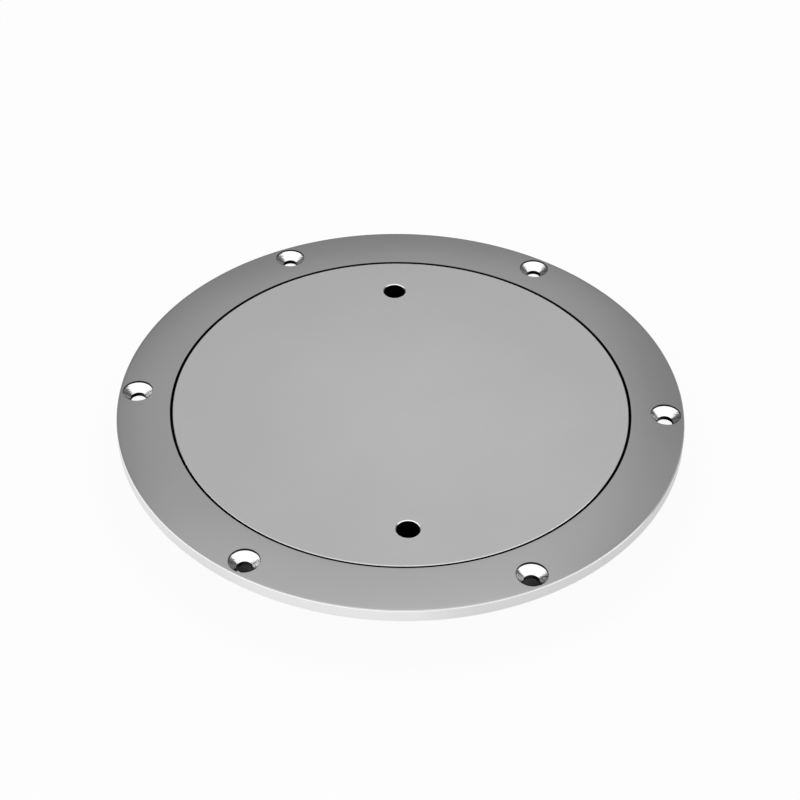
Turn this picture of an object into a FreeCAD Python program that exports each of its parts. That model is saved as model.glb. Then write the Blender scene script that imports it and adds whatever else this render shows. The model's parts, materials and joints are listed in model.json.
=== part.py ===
import FreeCAD
import Part
import math
import os

import Sketcher

# Flush deck inspection plate: a turned ring let into a deck, a cover that screws into it
# with its top flush, and the rubber seal that the cover squeezes on the ring's seat.
# Millimetres, Z up. The origin is on the axis, in the plane of the flange's underside,
# which is the plane of the deck.

# Driving sizes: alias, value, meaning
SIZES = (
    ("thread_diameter", 155.0, "nominal diameter of the thread between cover and ring"),
    ("thread_pitch", 4.0, "rise of the thread in one turn"),
    ("thread_form", 0.325, "depth of a 60 degree thread's mean surface, in pitches"),
    ("thread_play", 0.15, "gap from the mean thread surface to each side"),
    ("crest_clearance", 0.1, "gap from the nominal thread to the land above it"),
    ("flange_thickness", 5.0, "height of the flange beside the cover"),
    ("flange_fall", 0.35, "fall of the flange's tapered top from the cover to the rim"),
    ("rim_chamfer", 0.4, "chamfer on the flange's top edge"),
    ("edge_break", 0.25, "small chamfer that takes the burr off a turned edge"),
    ("rebate_wall", 2.35, "wall between the cover's rebate and the outside of the collar"),
    ("collar_depth", 17.0, "reach of the collar below the deck plane"),
    ("collar_chamfer", 1.0, "lead-in chamfer on the collar's foot"),
    ("throat_chamfer", 0.6, "lead-in chamfer at both ends of the throat and on the skirt"),
    ("screw_offset", 10.0, "from the outside of the collar to the screw circle"),
    ("screw_edge", 6.5, "from the screw circle to the flange's rim"),
    ("screw_count", 6, "countersunk screws through the flange"),
    ("screw_hole", 5.5, "clearance hole of one screw"),
    ("countersink_mouth", 10.5, "diameter of the countersink's mouth"),
    ("countersink_rim", 0.9, "straight rim above the countersink's cone"),
    ("countersink_angle", 90.0, "included angle of the countersink, in degrees"),
    ("cover_thickness", 4.5, "plate thickness of the cover"),
    ("cover_overhang", 0.25, "cover's edge beyond the seal"),
    ("cover_clocking", 95.15, "angle of the key holes from the first screw, in degrees"),
    ("rim_gap", 0.7, "open groove round the cover"),
    ("seal_height", 2.0, "height of the seal as it is squeezed"),
    ("seal_width", 2.7, "width of the seal as it is squeezed"),
    ("seal_play", 0.1, "gap between the seal and the land it is stretched over"),
    ("seal_chamfer", 0.5, "chamfer on the seal's corners"),
    ("land_clearance", 0.3, "gap between the land's foot and the ring's seat"),
    ("skirt_wall", 4.55, "wall of the cover's threaded skirt"),
    ("skirt_depth", 12.5, "reach of the skirt below the deck plane"),
    ("skirt_root", 2.0, "stiffening chamfer inside the skirt's root"),
    ("key_inset", 8.1, "from the inside of the skirt to a key hole's axis"),
    ("key_hole", 8.0, "diameter of a key hole"),
    ("key_mouth", 8.6, "mouth of a key hole across its chamfer"),
    ("key_depth", 8.0, "straight depth of a key hole"),
    ("key_tip_angle", 118.0, "included angle of the drilled tip, in degrees"),
    ("boss_wall", 5.0, "metal round and under a key hole"),
    ("boss_chamfer", 1.5, "chamfer on a boss's foot"),
)

# Derived sizes: alias, formula, meaning
DERIVED = (
    ("mean_thread", "=thread_diameter / 2 - thread_form * thread_pitch", "mean radius of the thread"),
    ("throat_radius", "=mean_thread + thread_play", "ring's bore"),
    ("skirt_radius", "=mean_thread - thread_play", "outside of the cover's skirt"),
    ("skirt_inside", "=skirt_radius - skirt_wall", "inside of the cover's skirt"),
    ("skirt_foot", "=-skirt_depth", "level of the skirt's foot"),
    ("land_radius", "=thread_diameter / 2 - crest_clearance", "plain land above the skirt's thread"),
    ("seal_inside", "=land_radius + seal_play", "inner edge of the seal"),
    ("seal_outside", "=seal_inside + seal_width", "outer edge of the seal"),
    ("seal_flat_in", "=seal_inside + seal_chamfer", "where the seal's flats begin"),
    ("seal_flat_out", "=seal_outside - seal_chamfer", "where the seal's flats end"),
    ("cover_radius", "=seal_outside + cover_overhang", "edge of the cover"),
    ("rebate_radius", "=cover_radius + rim_gap", "wall of the rebate round the cover"),
    ("collar_radius", "=rebate_radius + rebate_wall", "outside of the collar"),
    ("collar_foot", "=-collar_depth", "level of the collar's foot"),
    ("screw_radius", "=collar_radius + screw_offset", "radius of the screw circle"),
    ("flange_radius", "=screw_radius + screw_edge", "rim of the flange"),
    ("rim_height", "=flange_thickness - flange_fall", "height of the flange at its rim"),
    ("cover_under", "=flange_thickness - cover_thickness", "level of the cover's underside"),
    ("cover_middle", "=flange_thickness - cover_thickness / 2", "level midway through the cover's plate"),
    ("seat_level", "=cover_under - seal_height", "level of the ring's seat"),
    ("seal_low", "=seat_level + seal_chamfer", "level where the seal's sides begin"),
    ("seal_high", "=cover_under - seal_chamfer", "level where the seal's sides end"),
    ("land_foot", "=seat_level + land_clearance", "level of the land's foot"),
    ("key_radius", "=skirt_inside - key_inset", "key hole's distance from the axis"),
    ("boss_side", "=key_radius + key_hole / 2 + boss_wall", "side of a boss furthest from the axis"),
    ("boss_foot", "=flange_thickness - key_depth - boss_wall", "level of a boss's foot"),
    ("boss_flat", "=boss_side - boss_chamfer", "where the boss's foot meets its chamfer"),
    ("boss_shoulder", "=boss_foot + boss_chamfer", "level where the boss's side meets its chamfer"),
)

SHEET = "Sizes"
FULL_TURN = 360
TOLERANCE = 1e-4
UP = FreeCAD.Vector(0, 0, 1)

# Numbers by which a sketch knows the points of a curve, and its own origin and axes
POINTS = {"start": 1, "end": 2, "centre": 3}
FRAME = {"origin": -1, "horizontal": -1, "vertical": -2}

doc = FreeCAD.newDocument("deck_inspection_plate")


def make_sheet():
    """Fill the spreadsheet: name, value and meaning in columns A, B and C."""
    sheet = doc.addObject("Spreadsheet::Sheet", SHEET)
    for row, (alias, value, meaning) in enumerate(SIZES + DERIVED, start=1):
        sheet.set("A%d" % row, alias)
        sheet.setAlias("B%d" % row, alias)
        sheet.set("B%d" % row, str(value))
        sheet.set("C%d" % row, meaning)
    doc.recompute()


def size(alias):
    """Present value of one size; None stands for a point on the axis."""
    return float(getattr(doc.getObject(SHEET), alias)) if alias else 0.0


def bind(target, prop, alias):
    """Tie a property to a size in the sheet."""
    target.setExpression(prop, "%s.%s" % (SHEET, alias))


def make_body(name):
    body = doc.addObject("PartDesign::Body", name)
    body.Label = name
    return body


def datum(body, role):
    """One of the body's own origin planes or axes."""
    return next(item for item in body.Origin.OriginFeatures if item.Role == role)


def make_sketch(body, name, role, level=None):
    """Sketch on one of the body's origin planes, raised to a level of the sheet if one is given."""
    sketch = body.newObject("Sketcher::SketchObject", name)
    sketch.AttachmentSupport = [(datum(body, role), "")]
    sketch.MapMode = "FlatFace"
    if level:
        bind(sketch, "AttachmentOffset.Base.z", level)
    return sketch


def place_point(sketch, curve, point, across, up):
    """Fix one point of a curve at two sizes, or on an axis of the sketch where one is None."""
    where = (curve, POINTS[point])
    for kind, alias, axis in (("DistanceX", across, "vertical"), ("DistanceY", up, "horizontal")):
        if alias:
            rule = Sketcher.Constraint(kind, FRAME["origin"], POINTS["start"], *where, size(alias))
            bind(sketch, "Constraints[%d]" % sketch.addConstraint(rule), alias)
        else:
            sketch.addConstraint(Sketcher.Constraint("PointOnObject", *where, FRAME[axis]))


def draw_outline(sketch, corners):
    """Closed outline of straight sides through corners, which are pairs of sizes."""
    spots = [FreeCAD.Vector(size(across), size(up), 0) for across, up in corners]
    for number, corner in enumerate(corners):
        sketch.addGeometry(Part.LineSegment(spots[number], spots[(number + 1) % len(spots)]))
        place_point(sketch, number, "start", *corner)
    for number in range(len(corners)):
        joint = ((number - 1) % len(corners), POINTS["end"], number, POINTS["start"])
        sketch.addConstraint(Sketcher.Constraint("Coincident", *joint))


def turn(body, name, sketch, axis="V_Axis"):
    """Turn a sketch into a solid about one of its axes."""
    solid = body.newObject("PartDesign::Revolution", name)
    solid.Profile = sketch
    solid.ReferenceAxis = (sketch, [axis])
    solid.Angle = FULL_TURN
    doc.recompute()
    return solid


def turned_edge(feature, radius, level):
    """Name of the feature's round edge about the Z axis at one radius and level."""
    for number, edge in enumerate(feature.Shape.Edges, start=1):
        curve = edge.Curve
        if isinstance(curve, Part.Circle):
            off_axis = math.hypot(curve.Center.x, curve.Center.y)
            misses = (off_axis, curve.Radius - radius, curve.Center.z - level)
            if max(abs(miss) for miss in misses) < TOLERANCE:
                return "Edge%d" % number
    raise RuntimeError("%s has no turned edge at %g, %g" % (feature.Name, radius, level))


def bevel(body, name, amount, places):
    """Chamfer the turned edges at pairs of radius and level."""
    base = body.Tip
    edges = [turned_edge(base, size(radius), size(level)) for radius, level in places]
    chamfer = body.newObject("PartDesign::Chamfer", name)
    chamfer.Base = (base, edges)
    bind(chamfer, "Size", amount)
    doc.recompute()


def drill(body, name, level, across, diameter, mouth):
    """Hole parallel to Z from a level down, at a distance from the axis, with a shaped mouth."""
    sketch = make_sketch(body, name + "_spot", "XY_Plane", level)
    sketch.addGeometry(Part.Circle(FreeCAD.Vector(size(across), 0, 0), UP, size(diameter) / 2))
    place_point(sketch, 0, "centre", across, None)
    rule = sketch.addConstraint(Sketcher.Constraint("Diameter", 0, size(diameter)))
    bind(sketch, "Constraints[%d]" % rule, diameter)
    doc.recompute()
    hole = body.newObject("PartDesign::Hole", name)
    hole.Profile = sketch
    hole.HoleCutType = mouth
    hole.HoleCutCustomValues = True
    bind(hole, "Diameter", diameter)
    return hole


def repeat_round(body, name, originals):
    """Copy features round the Z axis."""
    pattern = body.newObject("PartDesign::PolarPattern", name)
    pattern.Originals = originals
    pattern.Axis = (datum(body, "Z_Axis"), [""])
    pattern.Angle = FULL_TURN
    body.Tip = pattern
    return pattern


def build_ring():
    """Flange, rebate, seat, threaded throat and collar, turned from one blank."""
    body = make_body("deck_ring")
    section = make_sketch(body, "ring_section", "XZ_Plane")
    corners = (
        ("collar_radius", None),
        ("flange_radius", None),
        ("flange_radius", "rim_height"),
        ("rebate_radius", "flange_thickness"),
        ("rebate_radius", "seat_level"),
        ("throat_radius", "seat_level"),
        ("throat_radius", "collar_foot"),
        ("collar_radius", "collar_foot"),
    )
    draw_outline(section, corners)
    turn(body, "ring_turned", section)
    bevel(body, "rim_bevel", "rim_chamfer", [("flange_radius", "rim_height")])
    broken = [("flange_radius", None), ("rebate_radius", "flange_thickness")]
    bevel(body, "ring_edges", "edge_break", broken)
    throat = [("throat_radius", "seat_level"), ("throat_radius", "collar_foot")]
    bevel(body, "throat_lead_in", "throat_chamfer", throat)
    bevel(body, "collar_lead_in", "collar_chamfer", [("collar_radius", "collar_foot")])
    screw = drill(body, "screw_hole", "flange_thickness", "screw_radius", "screw_hole", "Counterdrill")
    bind(screw, "HoleCutDiameter", "countersink_mouth")
    bind(screw, "HoleCutDepth", "countersink_rim")
    bind(screw, "HoleCutCountersinkAngle", "countersink_angle")
    screw.DepthType = "ThroughAll"
    doc.recompute()
    bind(repeat_round(body, "screw_holes", [screw]), "Occurrences", "screw_count")
    return body


def build_cover():
    """Disc with a threaded skirt below it and two blind key holes in bosses."""
    body = make_body("cover")
    section = make_sketch(body, "cover_section", "XZ_Plane")
    corners = (
        (None, "cover_under"),
        ("skirt_inside", "cover_under"),
        ("skirt_inside", "skirt_foot"),
        ("skirt_radius", "skirt_foot"),
        ("skirt_radius", "land_foot"),
        ("land_radius", "land_foot"),
        ("land_radius", "cover_under"),
        ("cover_radius", "cover_under"),
        ("cover_radius", "flange_thickness"),
        (None, "flange_thickness"),
    )
    draw_outline(section, corners)
    turn(body, "cover_turned", section)
    bevel(body, "skirt_root", "skirt_root", [("skirt_inside", "cover_under")])
    broken = [
        ("cover_radius", "flange_thickness"),
        ("cover_radius", "cover_under"),
        ("skirt_inside", "skirt_foot"),
    ]
    bevel(body, "cover_edges", "edge_break", broken)
    bevel(body, "skirt_lead_in", "throat_chamfer", [("skirt_radius", "skirt_foot")])

    boss_section = make_sketch(body, "boss_section", "XZ_Plane")
    boss_corners = (
        ("key_radius", "boss_foot"),
        ("boss_flat", "boss_foot"),
        ("boss_side", "boss_shoulder"),
        ("boss_side", "cover_middle"),
        ("key_radius", "cover_middle"),
    )
    draw_outline(boss_section, boss_corners)
    foot = FreeCAD.Vector(size("key_radius"), size("boss_foot"), 0)
    top = FreeCAD.Vector(size("key_radius"), size("cover_middle"), 0)
    axis = boss_section.addGeometry(Part.LineSegment(foot, top), True)
    place_point(boss_section, axis, "start", "key_radius", "boss_foot")
    place_point(boss_section, axis, "end", "key_radius", "cover_middle")
    boss = turn(body, "key_boss", boss_section, "Axis0")

    key = drill(body, "key_hole", "flange_thickness", "key_radius", "key_hole", "Countersink")
    bind(key, "HoleCutDiameter", "key_mouth")
    key.DepthType = "Dimension"
    bind(key, "Depth", "key_depth")
    key.DrillPoint = "Angled"
    bind(key, "DrillPointAngle", "key_tip_angle")
    doc.recompute()
    repeat_round(body, "key_pair", [boss, key]).Occurrences = 2
    body.Placement = FreeCAD.Placement(FreeCAD.Vector(), FreeCAD.Rotation(UP, size("cover_clocking")))
    bind(body, "Placement.Rotation.Angle", "cover_clocking")
    return body


def build_seal():
    """Square-cut rubber ring, squeezed between the cover's underside and the ring's seat."""
    body = make_body("seal_ring")
    section = make_sketch(body, "seal_section", "XZ_Plane")
    corners = (
        ("seal_flat_in", "seat_level"),
        ("seal_flat_out", "seat_level"),
        ("seal_outside", "seal_low"),
        ("seal_outside", "seal_high"),
        ("seal_flat_out", "cover_under"),
        ("seal_flat_in", "cover_under"),
        ("seal_inside", "seal_high"),
        ("seal_inside", "seal_low"),
    )
    draw_outline(section, corners)
    turn(body, "seal_turned", section)
    return body


def check_model(bodies):
    """Stop if any object failed or any piece is not one valid solid."""
    failed = [item.Name for item in doc.Objects if {"Invalid", "Error"} & set(item.State)]
    if failed:
        raise RuntimeError("failed objects: %s" % ", ".join(failed))
    for body in bodies:
        shape = body.Shape
        if shape.isNull() or not shape.isValid() or len(shape.Solids) != 1:
            raise RuntimeError("%s is not one valid solid" % body.Label)


def write_parts(bodies):
    os.makedirs("parts", exist_ok=True)
    for body in bodies:
        body.Shape.exportStep("parts/%s.step" % body.Label)
        box = body.Shape.BoundBox
        report = (body.Label, body.Shape.Volume, 2 * box.XMax, box.ZMin, box.ZMax)
        print("%s: %.1f mm3, %.2f mm across, from %.2f to %.2f mm" % report)


make_sheet()
pieces = [build_ring(), build_seal(), build_cover()]
doc.recompute()
check_model(pieces)
write_parts(pieces)
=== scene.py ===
import json
import math

import bmesh
import bpy
from mathutils import Matrix, Vector


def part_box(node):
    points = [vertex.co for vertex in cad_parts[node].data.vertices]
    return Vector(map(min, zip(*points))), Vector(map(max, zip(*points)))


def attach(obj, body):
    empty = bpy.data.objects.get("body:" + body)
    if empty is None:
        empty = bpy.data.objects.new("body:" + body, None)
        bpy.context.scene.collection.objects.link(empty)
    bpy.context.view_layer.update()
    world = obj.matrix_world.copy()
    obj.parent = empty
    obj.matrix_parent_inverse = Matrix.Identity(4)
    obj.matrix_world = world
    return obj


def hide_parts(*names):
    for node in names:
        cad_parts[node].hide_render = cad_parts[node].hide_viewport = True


# Looks of the flush deck inspection plate. Lengths are metres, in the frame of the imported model.
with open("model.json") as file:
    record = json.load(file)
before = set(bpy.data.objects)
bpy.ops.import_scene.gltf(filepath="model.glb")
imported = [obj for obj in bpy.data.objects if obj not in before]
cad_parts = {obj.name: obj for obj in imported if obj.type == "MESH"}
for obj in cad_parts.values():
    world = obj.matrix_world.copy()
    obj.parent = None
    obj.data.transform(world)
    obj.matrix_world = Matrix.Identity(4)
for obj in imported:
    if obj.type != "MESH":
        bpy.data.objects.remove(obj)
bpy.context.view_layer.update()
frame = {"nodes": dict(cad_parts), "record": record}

MM = 0.001

# Sizes that the frame gives
mounts = {mount["name"]: mount for mount in frame["record"]["mounts"]}
screws = mounts["screw_holes"]["dims"]
keys = [mounts["key_hole_back"], mounts["key_hole_front"]]


def reaches(node_name):
    """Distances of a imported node's points from the plate's axis."""
    return [math.hypot(*vertex.co.xy) for vertex in frame["nodes"][node_name].data.vertices]


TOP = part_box("cover")[1].z
DECK = 0.0
COVER_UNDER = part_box("seal_ring")[1].z
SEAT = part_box("seal_ring")[0].z
SKIRT_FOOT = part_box("cover")[0].z
COLLAR_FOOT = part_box("deck_ring")[0].z
RIM_RADIUS = max(reaches("deck_ring"))
COVER_RADIUS = max(reaches("cover"))
SEAL_RADII = (min(reaches("seal_ring")), max(reaches("seal_ring")))
COLLAR_RADIUS = mounts["collar"]["dims"]["r_mm"] * MM
SCREW_CIRCLE = screws["pcd_mm"] * MM / 2
SCREW_RADIUS = screws["hole_r_mm"] * MM
KEY_RADIUS = keys[0]["dims"]["r_mm"] * MM
THREAD_PITCH = frame["record"]["behaviour"]["couplings"][0]["ratio"] * math.tau

# Ring
GROOVE_GAP = 0.7 * MM
FLANGE_FALL = 0.35 * MM
RIM_ROUND = 0.4 * MM
EDGE_ROUND = 0.2 * MM
REBATE_ROUND = 0.2 * MM
COLLAR_CHAMFER = 1.0 * MM
COUNTERSINK_RADIUS = 5.25 * MM
COUNTERSINK_RIM = 0.9 * MM
COUNTERSINK_BREAK = 0.12 * MM
CROWN_ROWS = 14

# Cover
COVER_ROUND = 0.3 * MM
LAND_FOOT_GAP = 0.3 * MM
SKIRT_INSIDE = 71.5 * MM
SKIRT_ROOT = 2.0 * MM
KEY_CHAMFER = 0.25 * MM
KEY_DEPTH = 8.0 * MM
KEY_TIP_ANGLE = math.radians(118)
BOSS_RADIUS = 9.0 * MM
BOSS_FOOT = -8.0 * MM
BOSS_CHAMFER = 1.5 * MM

# Thread: crest and root radii, and the radius at which its ridge and groove are equally wide
MALE = {"inner": 75.05 * MM, "middle": 76.05 * MM, "outer": 77.4 * MM}
FEMALE = {"inner": 75.35 * MM, "middle": 76.35 * MM, "outer": 77.6 * MM}
HALF_RIDGE = THREAD_PITCH / 4
FLANK_ANGLE = math.radians(30)
FLANK_STEPS = 3
RELIEF_WIDTH = 1.2 * MM

# Seal
SEAL_ROUND = 0.4 * MM

# Meshes, and how far the cutters reach past a face
COLUMNS = 480
HOLE_COLUMNS = 96
ARC_STEPS = 5
MERGE = 1e-8
CLEAR = 1.0 * MM
CREASE_ANGLE = math.radians(32)


def rounded(corners):
    """Section points through corners, each (radius, level, rounding, finish of the side that follows).

    A rounding has that finish too, or one of its own, which comes last.
    """
    points = []
    for number, (radius, level, rounding, finish, *own) in enumerate(corners):
        corner = Vector((radius, level))
        if not rounding:
            points.append((radius, level, finish))
            continue
        before = (Vector(corners[number - 1][:2]) - corner).normalized()
        after = (Vector(corners[(number + 1) % len(corners)][:2]) - corner).normalized()
        half = before.angle(after) / 2
        centre = corner + (before + after).normalized() * rounding / math.sin(half)
        start = (corner + before * rounding / math.tan(half) - centre).normalized()
        end = (corner + after * rounding / math.tan(half) - centre).normalized()
        for step in range(ARC_STEPS):
            spot = centre + start.slerp(end, step / ARC_STEPS) * rounding
            points.append((spot.x, spot.y, own[0] if own else finish))
        spot = centre + end * rounding
        points.append((spot.x, spot.y, finish))
    return points


def thread_rise(angle):
    """Rise of the right-hand thread from angle 0."""
    return THREAD_PITCH * angle / math.tau


def thread_radius(height, form):
    """Radius of the thread's surface at a height above the middle of a ridge."""
    off_ridge = abs((height / THREAD_PITCH + 0.5) % 1 - 0.5) * THREAD_PITCH
    radius = form["middle"] + (HALF_RIDGE - off_ridge) / math.tan(FLANK_ANGLE)
    return min(max(radius, form["inner"]), form["outer"])


def thread_levels(angle, high, low, form):
    """Levels of the thread's edges at one angle, downwards, as many at every angle."""
    slope = math.tan(FLANK_ANGLE)
    crest = HALF_RIDGE - (form["outer"] - form["middle"]) * slope
    root = HALF_RIDGE + (form["middle"] - form["inner"]) * slope
    flank = [crest + (root - crest) * step / FLANK_STEPS for step in range(FLANK_STEPS + 1)]
    marks = [THREAD_PITCH - mark for mark in flank] + flank[::-1]
    rise = thread_rise(angle)
    first = math.ceil(high / THREAD_PITCH)
    last = math.floor(low / THREAD_PITCH) - 1
    for turn in range(first, last - 1, -1):
        for mark in marks:
            yield min(max(rise + turn * THREAD_PITCH + mark, low), high)


def throat(angle):
    """Female thread of the ring's throat, with a lead-in to its full depth at both ends."""
    points = []
    rise = thread_rise(angle)
    for level in thread_levels(angle, SEAT, COLLAR_FOOT, FEMALE):
        opening = FEMALE["outer"] - min(SEAT - level, level - COLLAR_FOOT)
        points.append((max(thread_radius(level - rise, FEMALE), opening), level, "turned"))
    return points


def skirt(angle):
    """Male thread of the cover's skirt, with a relief under the land and a lead-in at the foot."""
    points = []
    rise = thread_rise(angle)
    land_foot = SEAT + LAND_FOOT_GAP
    for level in thread_levels(angle, land_foot, SKIRT_FOOT, MALE):
        relief = MALE["inner"] + max(land_foot - RELIEF_WIDTH - level, 0)
        lead_in = MALE["inner"] + level - SKIRT_FOOT
        points.append((min(thread_radius(level - rise, MALE), relief, lead_in), level, "turned"))
    return points


def flange_level(radius):
    """Level of the flange's top, which falls away from the cover in a slight crown."""
    share = (radius - COVER_RADIUS - GROOVE_GAP) / (RIM_RADIUS - COVER_RADIUS - GROOVE_GAP)
    return TOP - FLANGE_FALL * min(max(share, 0), 1) ** 2


def ring_outline():
    """Ring's outline from the collar's foot round the flange to the seat."""
    rebate = COVER_RADIUS + GROOVE_GAP
    corners = [
        # The collar's outside is dull dark steel, partly its rough skin and partly painted shade below the
        # flange.
        (COLLAR_RADIUS - COLLAR_CHAMFER, COLLAR_FOOT, 0, "cast_and_shade"),
        (COLLAR_RADIUS, COLLAR_FOOT + COLLAR_CHAMFER, 0, "cast_and_shade"),
        (COLLAR_RADIUS, DECK, 0, "turned"),
        # The flange's outer wall is painted lighter than the steel: painted light.
        (RIM_RADIUS, DECK, EDGE_ROUND, "edge"),
        # The rim's rounding is painted far lighter than the steel: a painted highlight.
        (RIM_RADIUS, flange_level(RIM_RADIUS), RIM_ROUND, "polished", "bright"),
    ]
    for row in range(1, CROWN_ROWS):
        radius = RIM_RADIUS + (rebate - RIM_RADIUS) * row / CROWN_ROWS
        corners.append((radius, flange_level(radius), 0, "polished"))
    # The rebate's wall and the seat are painted near-black: painted shade in the narrow groove.
    corners.append((rebate, TOP, REBATE_ROUND, "painted_shade"))
    corners.append((rebate, SEAT, EDGE_ROUND, "painted_shade"))
    return rounded(corners)


def cover_top():
    """Cover's outline from the middle of its top to the foot of the land."""
    corners = [
        # The cover's top is painted lighter than the flange as painted light, and darker toward its edge as
        # painted shade.
        (0, TOP, 0, "satin"),
        # The top edge's rounding is painted far lighter than the steel: a painted highlight.
        (COVER_RADIUS, TOP, COVER_ROUND, "smooth", "bright"),
        (COVER_RADIUS, COVER_UNDER, EDGE_ROUND, "turned"),
        (MALE["outer"], COVER_UNDER, 0, "turned"),
        (MALE["outer"], SEAT + LAND_FOOT_GAP, 0, "turned"),
    ]
    return rounded(corners)


def cover_under():
    """Cover's outline from the foot of its skirt to the middle of its underside."""
    corners = [
        (SKIRT_INSIDE + EDGE_ROUND, SKIRT_FOOT, 0, "turned"),
        (SKIRT_INSIDE, SKIRT_FOOT + EDGE_ROUND, 0, "turned"),
        (SKIRT_INSIDE, COVER_UNDER - SKIRT_ROOT, 0, "turned"),
        (SKIRT_INSIDE - SKIRT_ROOT, COVER_UNDER, 0, "turned"),
        (0, COVER_UNDER, 0, "turned"),
    ]
    return rounded(corners)


def seal_outline():
    """Seal's square-cut section with rounded corners."""
    inside, outside = SEAL_RADII
    corners = [(inside, SEAT), (outside, SEAT), (outside, COVER_UNDER), (inside, COVER_UNDER)]
    return rounded([(radius, level, SEAL_ROUND, "rubber") for radius, level in corners])


def turned(name, section, finishes, columns=COLUMNS, axis=(0, 0), start=0.0):
    """Solid of revolution about a vertical axis; section(angle) gives its closed outline at one angle.

    The first of its columns lies at the start angle.
    """
    mesh = bmesh.new()
    grid = []
    for column in range(columns + 1):
        angle = start + math.tau * column / columns
        across, along = math.cos(angle), math.sin(angle)
        points = section(angle)
        spots = [(axis[0] + r * across, axis[1] + r * along, z) for r, z, _ in points]
        grid.append([mesh.verts.new(spot) for spot in spots])
    slots = [finishes.index(finish) for _, _, finish in section(0)]
    for left, right in zip(grid, grid[1:]):
        for row in range(len(slots)):
            face = mesh.faces.new((left[row - 1], right[row - 1], right[row], left[row]))
            face.material_index = slots[row - 1]
            face.smooth = True
    bmesh.ops.remove_doubles(mesh, verts=mesh.verts, dist=MERGE)
    bmesh.ops.recalc_face_normals(mesh, faces=mesh.faces)
    data = bpy.data.meshes.new(name)
    mesh.to_mesh(data)
    mesh.free()
    for finish in finishes:
        data.materials.append(materials[finish])
    piece = bpy.data.objects.new(name, data)
    bpy.context.scene.collection.objects.link(piece)
    return piece


def combine(piece, operation, tools):
    """Unite a piece with tool solids, or cut them out of it; the tools are used up."""
    for tool in tools:
        modifier = piece.modifiers.new(operation.lower(), "BOOLEAN")
        modifier.operation = operation
        modifier.solver = "MANIFOLD"
        modifier.object = tool
    scene = bpy.context.evaluated_depsgraph_get()
    data = bpy.data.meshes.new_from_object(piece.evaluated_get(scene))
    piece.modifiers.clear()
    piece.data = data
    data.name = piece.name
    for tool in tools:
        bpy.data.objects.remove(tool)


def finish_shading(piece):
    """Creases at true edges, and normals that follow the large faces."""
    piece.data.set_sharp_from_angle(angle=CREASE_ANGLE)
    weighted = piece.modifiers.new("even_normals", "WEIGHTED_NORMAL")
    weighted.keep_sharp = True


def screw_cutter(number, finishes):
    """Countersunk hole whose broken edge follows the flange's crown.

    Its columns start half a step aside, so that none of them runs along a column of the ring.
    """
    angle = math.tau * number / screws["count"]
    axis = (SCREW_CIRCLE * math.cos(angle), SCREW_CIRCLE * math.sin(angle))
    mouth = COUNTERSINK_RADIUS + COUNTERSINK_BREAK
    cone_top = TOP - COUNTERSINK_RIM
    cone_foot = cone_top - (COUNTERSINK_RADIUS - SCREW_RADIUS)
    half_step = math.pi / HOLE_COLUMNS

    def crown(turn, radius):
        across = axis[0] + radius * math.cos(turn)
        along = axis[1] + radius * math.sin(turn)
        return flange_level(math.hypot(across, along))

    def section(turn):
        return [
            # The broken edge, the straight rim and the bore are painted near-black as painted shade; the
            # cone is painted far lighter than the steel as a painted highlight.
            (0, TOP + CLEAR, "painted_shade"),
            (mouth + CLEAR, crown(turn, mouth) + CLEAR, "painted_shade"),
            (COUNTERSINK_RADIUS, crown(turn, COUNTERSINK_RADIUS) - COUNTERSINK_BREAK, "painted_shade"),
            (COUNTERSINK_RADIUS, cone_top, "mirror"),
            (SCREW_RADIUS, cone_foot, "painted_shade"),
            (SCREW_RADIUS, DECK - CLEAR, "painted_shade"),
            (0, DECK - CLEAR, "painted_shade"),
        ]
    return turned("screw_cutter_%d" % number, section, finishes, HOLE_COLUMNS, axis, half_step)


def key_cutter(mount, finishes):
    """Blind key hole with a chamfered mouth and a drill-point tip. Its wall and tip are painted near-black
    as painted shade, and its chamfer far lighter than the steel as a painted highlight.
    """
    tip = KEY_DEPTH + KEY_RADIUS / math.tan(KEY_TIP_ANGLE / 2)
    outline = [
        (0, TOP + CLEAR, "mirror"),
        (KEY_RADIUS + KEY_CHAMFER + CLEAR, TOP + CLEAR, "mirror"),
        (KEY_RADIUS, TOP - KEY_CHAMFER, "painted_shade"),
        (KEY_RADIUS, TOP - KEY_DEPTH, "painted_shade"),
        (0, TOP - tip, "painted_shade"),
    ]
    return turned("key_cutter", lambda angle: outline, finishes, HOLE_COLUMNS, mount["pos_m"][:2])


def key_boss(mount, finishes):
    """Boss below the cover that holds a key hole; its top ends inside the cover's plate."""
    boss_top = (TOP + COVER_UNDER) / 2
    outline = [
        (0, boss_top, "turned"),
        (BOSS_RADIUS, boss_top, "turned"),
        (BOSS_RADIUS, BOSS_FOOT + BOSS_CHAMFER, "turned"),
        (BOSS_RADIUS - BOSS_CHAMFER, BOSS_FOOT, "turned"),
        (0, BOSS_FOOT, "turned"),
    ]
    return turned("key_boss", lambda angle: outline, finishes, HOLE_COLUMNS, mount["pos_m"][:2])


# Shader nodes: a value is a pair of a node and its output's name
PLAIN_DETAIL = 2.0


def node(tree, kind, **settings):
    """New shader node with its settings."""
    made = tree.nodes.new(kind)
    for name, value in settings.items():
        setattr(made, name, value)
    return made


def link(tree, source, output, target, entry):
    """Link a node's output to another node's entry."""
    tree.links.new(source.outputs[output], target.inputs[entry])


def calculated(tree, operation, first, second=None):
    """Result of a Math node for a value, and another value or a number."""
    made = node(tree, "ShaderNodeMath", operation=operation)
    link(tree, *first, made, 0)
    if isinstance(second, tuple):
        link(tree, *second, made, 1)
    elif second is not None:
        made.inputs[1].default_value = second
    return made, "Value"


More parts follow.
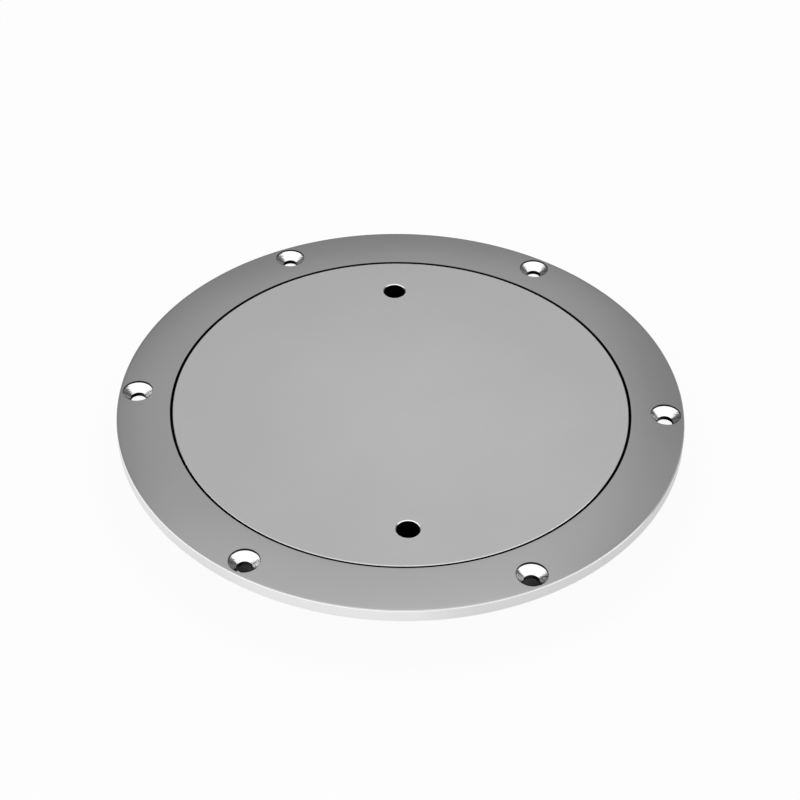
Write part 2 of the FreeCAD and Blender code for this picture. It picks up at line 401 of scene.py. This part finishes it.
def ranged(tree, source, span=(0, 1), to=(0, 1), smooth=False):
    """A value's span mapped to a range, in a straight line or smoothly."""
    made = node(tree, "ShaderNodeMapRange", interpolation_type="SMOOTHSTEP" if smooth else "LINEAR")
    made.inputs["From Min"].default_value, made.inputs["From Max"].default_value = span
    made.inputs["To Min"].default_value, made.inputs["To Max"].default_value = to
    link(tree, *source, made, "Value")
    return made, "Result"


def noise(tree, place, size, detail=PLAIN_DETAIL, dimensions="3D"):
    """Noise of one size at a place, or at a number if it has one dimension."""
    made = node(tree, "ShaderNodeTexNoise", noise_dimensions=dimensions)
    made.inputs["Scale"].default_value = 1 / size
    made.inputs["Detail"].default_value = detail
    link(tree, *place, made, "W" if dimensions == "1D" else "Vector")
    return made, "Fac"


def bump(tree, height, depth, under=None):
    """Normal of a height of some depth, on top of another bump's normal."""
    made = node(tree, "ShaderNodeBump")
    made.inputs["Distance"].default_value = depth
    link(tree, *height, made, "Height")
    if under:
        link(tree, *under, made, "Normal")
    return made, "Normal"


def from_axis(tree, place):
    """Distance of a place from the plate's axis, and the node that has its X, Y and Z."""
    parts = node(tree, "ShaderNodeSeparateXYZ")
    link(tree, *place, parts, "Vector")
    flat = node(tree, "ShaderNodeCombineXYZ")
    link(tree, parts, "X", flat, "X")
    link(tree, parts, "Y", flat, "Y")
    reach = node(tree, "ShaderNodeVectorMath", operation="LENGTH")
    link(tree, flat, "Vector", reach, 0)
    return (reach, "Value"), parts


def blank(name):
    """New material, its node tree and its shader."""
    material = bpy.data.materials.new(name)
    material.use_nodes = True
    return material, material.node_tree, material.node_tree.nodes["Principled BSDF"]


# Finishes
STEEL = 0.58
MARK_DETAIL = 3.0
CLOUD_SIZE = 35 * MM
CLOUD_DETAIL = 4.0
CLOUD_CHANGE = 0.04
RUBBER = 0.03
RUBBER_CHANGE = 0.3
RUBBER_ROUGHNESS = 0.6
RUBBER_GRAIN = 0.4 * MM
RUBBER_DEPTH = 0.02 * MM


def steel(name, roughness, marks, base=STEEL, edge_share=1.0, by_level=False, chatter=(1.0 * MM, 0.0)):
    """Stainless steel with fine marks, which run round the axis, or along the levels of a bore.

    The marks are (width, depth, change of roughness), and the chatter of the tool is (width, depth). The
    colour falls to edge_share of the base at the cover's edge, as painted shade.
    """
    width, depth, change = marks
    material, tree, shader = blank(name)
    shader.inputs["Metallic"].default_value = 1.0
    place = node(tree, "ShaderNodeTexCoord"), "Object"
    reach, parts = from_axis(tree, place)
    across = (parts, "Z") if by_level else calculated(tree, "ADD", reach, (parts, "Z"))
    lines = noise(tree, across, width, MARK_DETAIL, "1D")
    waves = bump(tree, noise(tree, place, chatter[0]), chatter[1])
    link(tree, *bump(tree, lines, depth, waves), shader, "Normal")
    link(tree, *ranged(tree, lines, to=(roughness - change, roughness + change)), shader, "Roughness")

    # Painted shade: the colour darkens toward the cover's edge where edge_share is below 1.
    fade = ranged(tree, reach, (0, COVER_RADIUS), (base, base * edge_share), smooth=True)
    cloud = noise(tree, place, CLOUD_SIZE, CLOUD_DETAIL)
    patch = ranged(tree, cloud, to=(1 - CLOUD_CHANGE, 1 + CLOUD_CHANGE))
    link(tree, *calculated(tree, "MULTIPLY", fade, patch), shader, "Base Color")
    return material


def rubber(name):
    """Matt black rubber with a fine grain."""
    material, tree, shader = blank(name)
    shader.inputs["Roughness"].default_value = RUBBER_ROUGHNESS
    grain = noise(tree, (node(tree, "ShaderNodeTexCoord"), "Object"), RUBBER_GRAIN)
    tint = ranged(tree, grain, to=(RUBBER * (1 - RUBBER_CHANGE), RUBBER * (1 + RUBBER_CHANGE)))
    link(tree, *tint, shader, "Base Color")
    link(tree, *bump(tree, grain, RUBBER_DEPTH), shader, "Normal")
    return material


materials = {
    "polished": steel("polished_steel", 0.14, (0.35 * MM, 0.00002 * MM, 0.03)),
    # The flange's outer wall, painted lighter than the steel as painted light.
    "edge": steel("painted_light_edge_steel", 0.55, (0.15 * MM, 0.0006 * MM, 0.05), base=0.9),
    # Near-white steel for the roundings of the rim and of the cover's top edge: a painted highlight.
    "bright": steel("painted_highlight_steel", 0.12, (0.2 * MM, 0.00005 * MM, 0.02), base=0.95),
    # The countersinks' cones and the key holes' chamfers are painted far lighter than the steel: a painted
    # highlight.
    "mirror": steel(
        "painted_highlight_countersunk_steel", 0.08, (0.2 * MM, 0.0001 * MM, 0.02), base=0.92, by_level=True,
        chatter=(0.5 * MM, 0.06 * MM)),
    # The cover's satin top, painted lighter than the flange's steel as painted light, and darker toward its
    # edge as painted shade.
    "satin": steel("painted_light_satin_steel", 0.52, (0.12 * MM, 0.0002 * MM, 0.03), base=0.88, edge_share=0.93),
    "smooth": steel("smooth_steel", 0.08, (0.2 * MM, 0.00005 * MM, 0.02)),
    "turned": steel("turned_steel", 0.3, (0.2 * MM, 0.002 * MM, 0.05)),
    # Dull dark steel of the collar: partly a rough skin, partly painted shade below the flange.
    "cast_and_shade": steel("cast_and_shade_steel", 0.45, (0.6 * MM, 0.004 * MM, 0.05), base=0.35),
    # Near-black steel: painted shade on the bores, the countersinks' rims and edges, the key holes and the
    # groove's walls.
    "painted_shade": steel("painted_shade_steel", 0.4, (0.2 * MM, 0.001 * MM, 0.05), base=0.02, by_level=True),
    "rubber": rubber("black_rubber"),
}


def build_ring():
    """Ring with its female thread, cut by the screw holes."""
    finishes = ("polished", "edge", "bright", "turned", "cast_and_shade", "mirror", "painted_shade")
    fixed = ring_outline()
    piece = turned("ring_piece", lambda angle: throat(angle) + fixed, finishes)
    combine(piece, "DIFFERENCE", [screw_cutter(number, finishes) for number in range(screws["count"])])
    finish_shading(piece)
    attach(piece, "ring")
    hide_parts("deck_ring")


def build_cover():
    """Cover with its male thread and its two key holes in their bosses."""
    finishes = ("satin", "bright", "smooth", "turned", "mirror", "painted_shade")
    top, under = cover_top(), cover_under()
    piece = turned("cover_piece", lambda angle: top + skirt(angle) + under, finishes)
    combine(piece, "UNION", [key_boss(mount, finishes) for mount in keys])
    combine(piece, "DIFFERENCE", [key_cutter(mount, finishes) for mount in keys])
    finish_shading(piece)
    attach(piece, "cover")
    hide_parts("cover")


def build_seal():
    """Rubber ring between the seat and the cover."""
    outline = seal_outline()
    piece = turned("seal_piece", lambda angle: outline, ("rubber",))
    finish_shading(piece)
    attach(piece, "seal")
    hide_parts("seal_ring")


# Camera, solved from the plate's circles in the photograph
PICTURE = 800
SENSOR = 36.0
FOCAL_PIXELS = 2056.4
CAMERA_DISTANCE = 0.7271
CAMERA_ELEVATION = math.radians(41.36)
CAMERA_AZIMUTH = math.radians(2.28)
CAMERA_ROLL = math.radians(1.07)
CENTRE_PIXEL = (400.86, 402.18)


def add_camera():
    """Camera that looks at the middle of the cover's top from the front."""
    data = bpy.data.cameras.new("camera")
    data.sensor_width = SENSOR
    data.lens = FOCAL_PIXELS * SENSOR / PICTURE
    data.shift_x = (PICTURE / 2 - CENTRE_PIXEL[0]) / PICTURE
    data.shift_y = (CENTRE_PIXEL[1] - PICTURE / 2) / PICTURE
    camera = bpy.data.objects.new("camera", data)
    bpy.context.scene.collection.objects.link(camera)
    level = math.cos(CAMERA_ELEVATION)
    ahead = (level * math.sin(CAMERA_AZIMUTH), -level * math.cos(CAMERA_AZIMUTH))
    side = Vector((*ahead, math.sin(CAMERA_ELEVATION)))
    spot = Matrix.Translation(Vector((0, 0, TOP)) + side * CAMERA_DISTANCE)
    aim = side.to_track_quat("Z", "Y").to_matrix().to_4x4()
    camera.matrix_world = spot @ aim @ Matrix.Rotation(CAMERA_ROLL, 4, "Z")
    bpy.context.scene.camera = camera


# Floor, with the edges of its painted shade round the plate and of its dimmer side
FLOOR_SIZE = 12.0
FLOOR_COLOUR = 0.9
FLOOR_WHITENESS = 0.96
FLOOR_GAP = 0.02 * MM
SHADE_REACH = 15 * MM
SHADE_EDGES = (SCREW_CIRCLE, RIM_RADIUS + SHADE_REACH)
DIM_EDGES = (14 * MM, 40 * MM)
DIM_SHARE = 0.77
WHITE = 1.0


def mixed(tree, share, first, second):
    """Shader that goes with a share from the first to the second."""
    made = node(tree, "ShaderNodeMixShader")
    for entry, value in enumerate((share, first, second)):
        link(tree, *value, made, entry)
    return made, "Shader"


def floor_material():
    """White that keeps part of the plate's shadow, and is painted dark below the flange as painted shade.

    Reflections show its own white beside the plate, dimmer to the right, and it lights the space inside the
    collar, which no other light reaches. It can't be seen from below.
    """
    material, tree, _ = blank("floor_white")
    tree.nodes.clear()
    rays = node(tree, "ShaderNodeLightPath")
    camera_ray = (rays, "Is Camera Ray")
    reach, parts = from_axis(tree, (node(tree, "ShaderNodeTexCoord"), "Object"))
    beside = ranged(tree, reach, SHADE_EDGES, smooth=True)
    inside = calculated(tree, "LESS_THAN", reach, COLLAR_RADIUS)

    mirrored = calculated(tree, "MAXIMUM", (rays, "Is Glossy Ray"), (rays, "Is Transmission Ray"))
    seen = calculated(tree, "MAXIMUM", camera_ray, calculated(tree, "MULTIPLY", mirrored, beside))
    bright = calculated(tree, "MAXIMUM", seen, inside)
    dim = ranged(tree, (parts, "X"), DIM_EDGES, (WHITE, DIM_SHARE), smooth=True)

    matt = node(tree, "ShaderNodeBsdfDiffuse")
    # Painted shade: the matt colour falls to black below the flange.
    link(tree, *calculated(tree, "MULTIPLY", beside, FLOOR_COLOUR), matt, "Color")
    white = node(tree, "ShaderNodeEmission")
    link(tree, *calculated(tree, "MAXIMUM", camera_ray, dim), white, "Strength")
    share = calculated(tree, "MULTIPLY", bright, FLOOR_WHITENESS)
    top = mixed(tree, share, (matt, "BSDF"), (white, "Emission"))

    below = (node(tree, "ShaderNodeNewGeometry"), "Backfacing")
    both = mixed(tree, below, top, (node(tree, "ShaderNodeBsdfTransparent"), "BSDF"))
    link(tree, *both, node(tree, "ShaderNodeOutputMaterial"), "Surface")
    return material


def add_floor():
    """Floor just below the collar's foot."""
    bpy.ops.mesh.primitive_plane_add(size=FLOOR_SIZE, location=(0, 0, COLLAR_FOOT - FLOOR_GAP))
    floor = bpy.context.object
    floor.name = "floor"
    floor.data.materials.append(floor_material())


# Back light: its brightness by how far a direction points to BACK_UP, and the share of it that is left by
# the distance sideways from its middle
BACK_UP = (0.15, 0, 1)
BACK_LIGHT = (
    (0.0, 0.12), (0.17, 0.18), (0.3, 0.24), (0.52, 0.34), (0.57, 0.39), (0.6, 0.52), (0.675, 0.52),
    (0.71, 0.67), (0.78, 0.7), (0.86, 1.4), (1.0, 1.4),
)
SIDEWAYS = (1, 0, 0)
BACK_MIDDLE = -0.055
BACK_WIDTH = (
    (0.0, 1.0), (0.1, 1.0), (0.15, 0.84), (0.2, 0.66), (0.3, 0.66), (0.45, 0.9), (0.6, 0.85), (0.85, 0.5),
    (1.0, 0.5),
)

# Front light: its brightness by how far a direction points to FRONT_UP, with a darker gap above the plate
FRONT_UP = Vector((0, 1, 1)).normalized()
FRONT_LIGHT = ((0.0, 1.1), (0.42, 1.1), (0.46, 0.2), (0.71, 0.2), (0.78, 0.6), (1.0, 0.6))

# The front light takes over where a direction points to FRONT_AIM, from the first edge to the second
FRONT_AIM = Vector((-0.2, -1, 0)).normalized()
FRONT_EDGES = (-0.42, -0.3)


def curve(tree, points, source):
    """Value of a curve through (input, value) points, read at a value."""
    shape = node(tree, "ShaderNodeFloatCurve")
    line = shape.mapping.curves[0]
    top = max(value for _, value in points)
    for point, (spot, value) in zip(line.points, (points[0], points[-1])):
        point.location = (spot, value / top)
    for spot, value in points[1:-1]:
        line.points.new(spot, value / top)
    shape.mapping.update()
    link(tree, *source, shape, "Value")
    return calculated(tree, "MULTIPLY", (shape, "Value"), top)


def turned_to(tree, direction, aim):
    """How far a direction points to an aim, as the product of the two."""
    product = node(tree, "ShaderNodeVectorMath", operation="DOT_PRODUCT")
    product.inputs[1].default_value = aim
    link(tree, *direction, product, 0)
    return product, "Value"


def blended(tree, share, first, second):
    """Value that goes with a share from the first to the second, which may be a number."""
    made = node(tree, "ShaderNodeMix", data_type="FLOAT")
    link(tree, *share, made, "Factor")
    link(tree, *first, made, "A")
    if isinstance(second, tuple):
        link(tree, *second, made, "B")
    else:
        made.inputs["B"].default_value = second
    return made, "Result"


def add_world():
    """Soft studio with a large bright front and a dimmer back, in front of a white background."""
    world = bpy.data.worlds.new("studio")
    bpy.context.scene.world = world
    world.use_nodes = True
    tree = world.node_tree
    background = tree.nodes["Background"]
    background.inputs["Color"].default_value = (1, 1, 1, 1)
    direction = node(tree, "ShaderNodeTexCoord"), "Generated"

    offset = calculated(tree, "SUBTRACT", turned_to(tree, direction, SIDEWAYS), BACK_MIDDLE)
    width = curve(tree, BACK_WIDTH, calculated(tree, "ABSOLUTE", offset))
    height = curve(tree, BACK_LIGHT, turned_to(tree, direction, BACK_UP))
    back = calculated(tree, "MULTIPLY", height, width)
    front = curve(tree, FRONT_LIGHT, turned_to(tree, direction, FRONT_UP))
    share = ranged(tree, turned_to(tree, direction, FRONT_AIM), FRONT_EDGES, smooth=True)
    light = blended(tree, share, back, front)
    camera_ray = (node(tree, "ShaderNodeLightPath"), "Is Camera Ray")
    link(tree, *blended(tree, camera_ray, light, WHITE), background, "Strength")


build_ring()
build_cover()
build_seal()
add_floor()
add_world()
add_camera()
bpy.context.scene.view_settings.view_transform = "Standard"
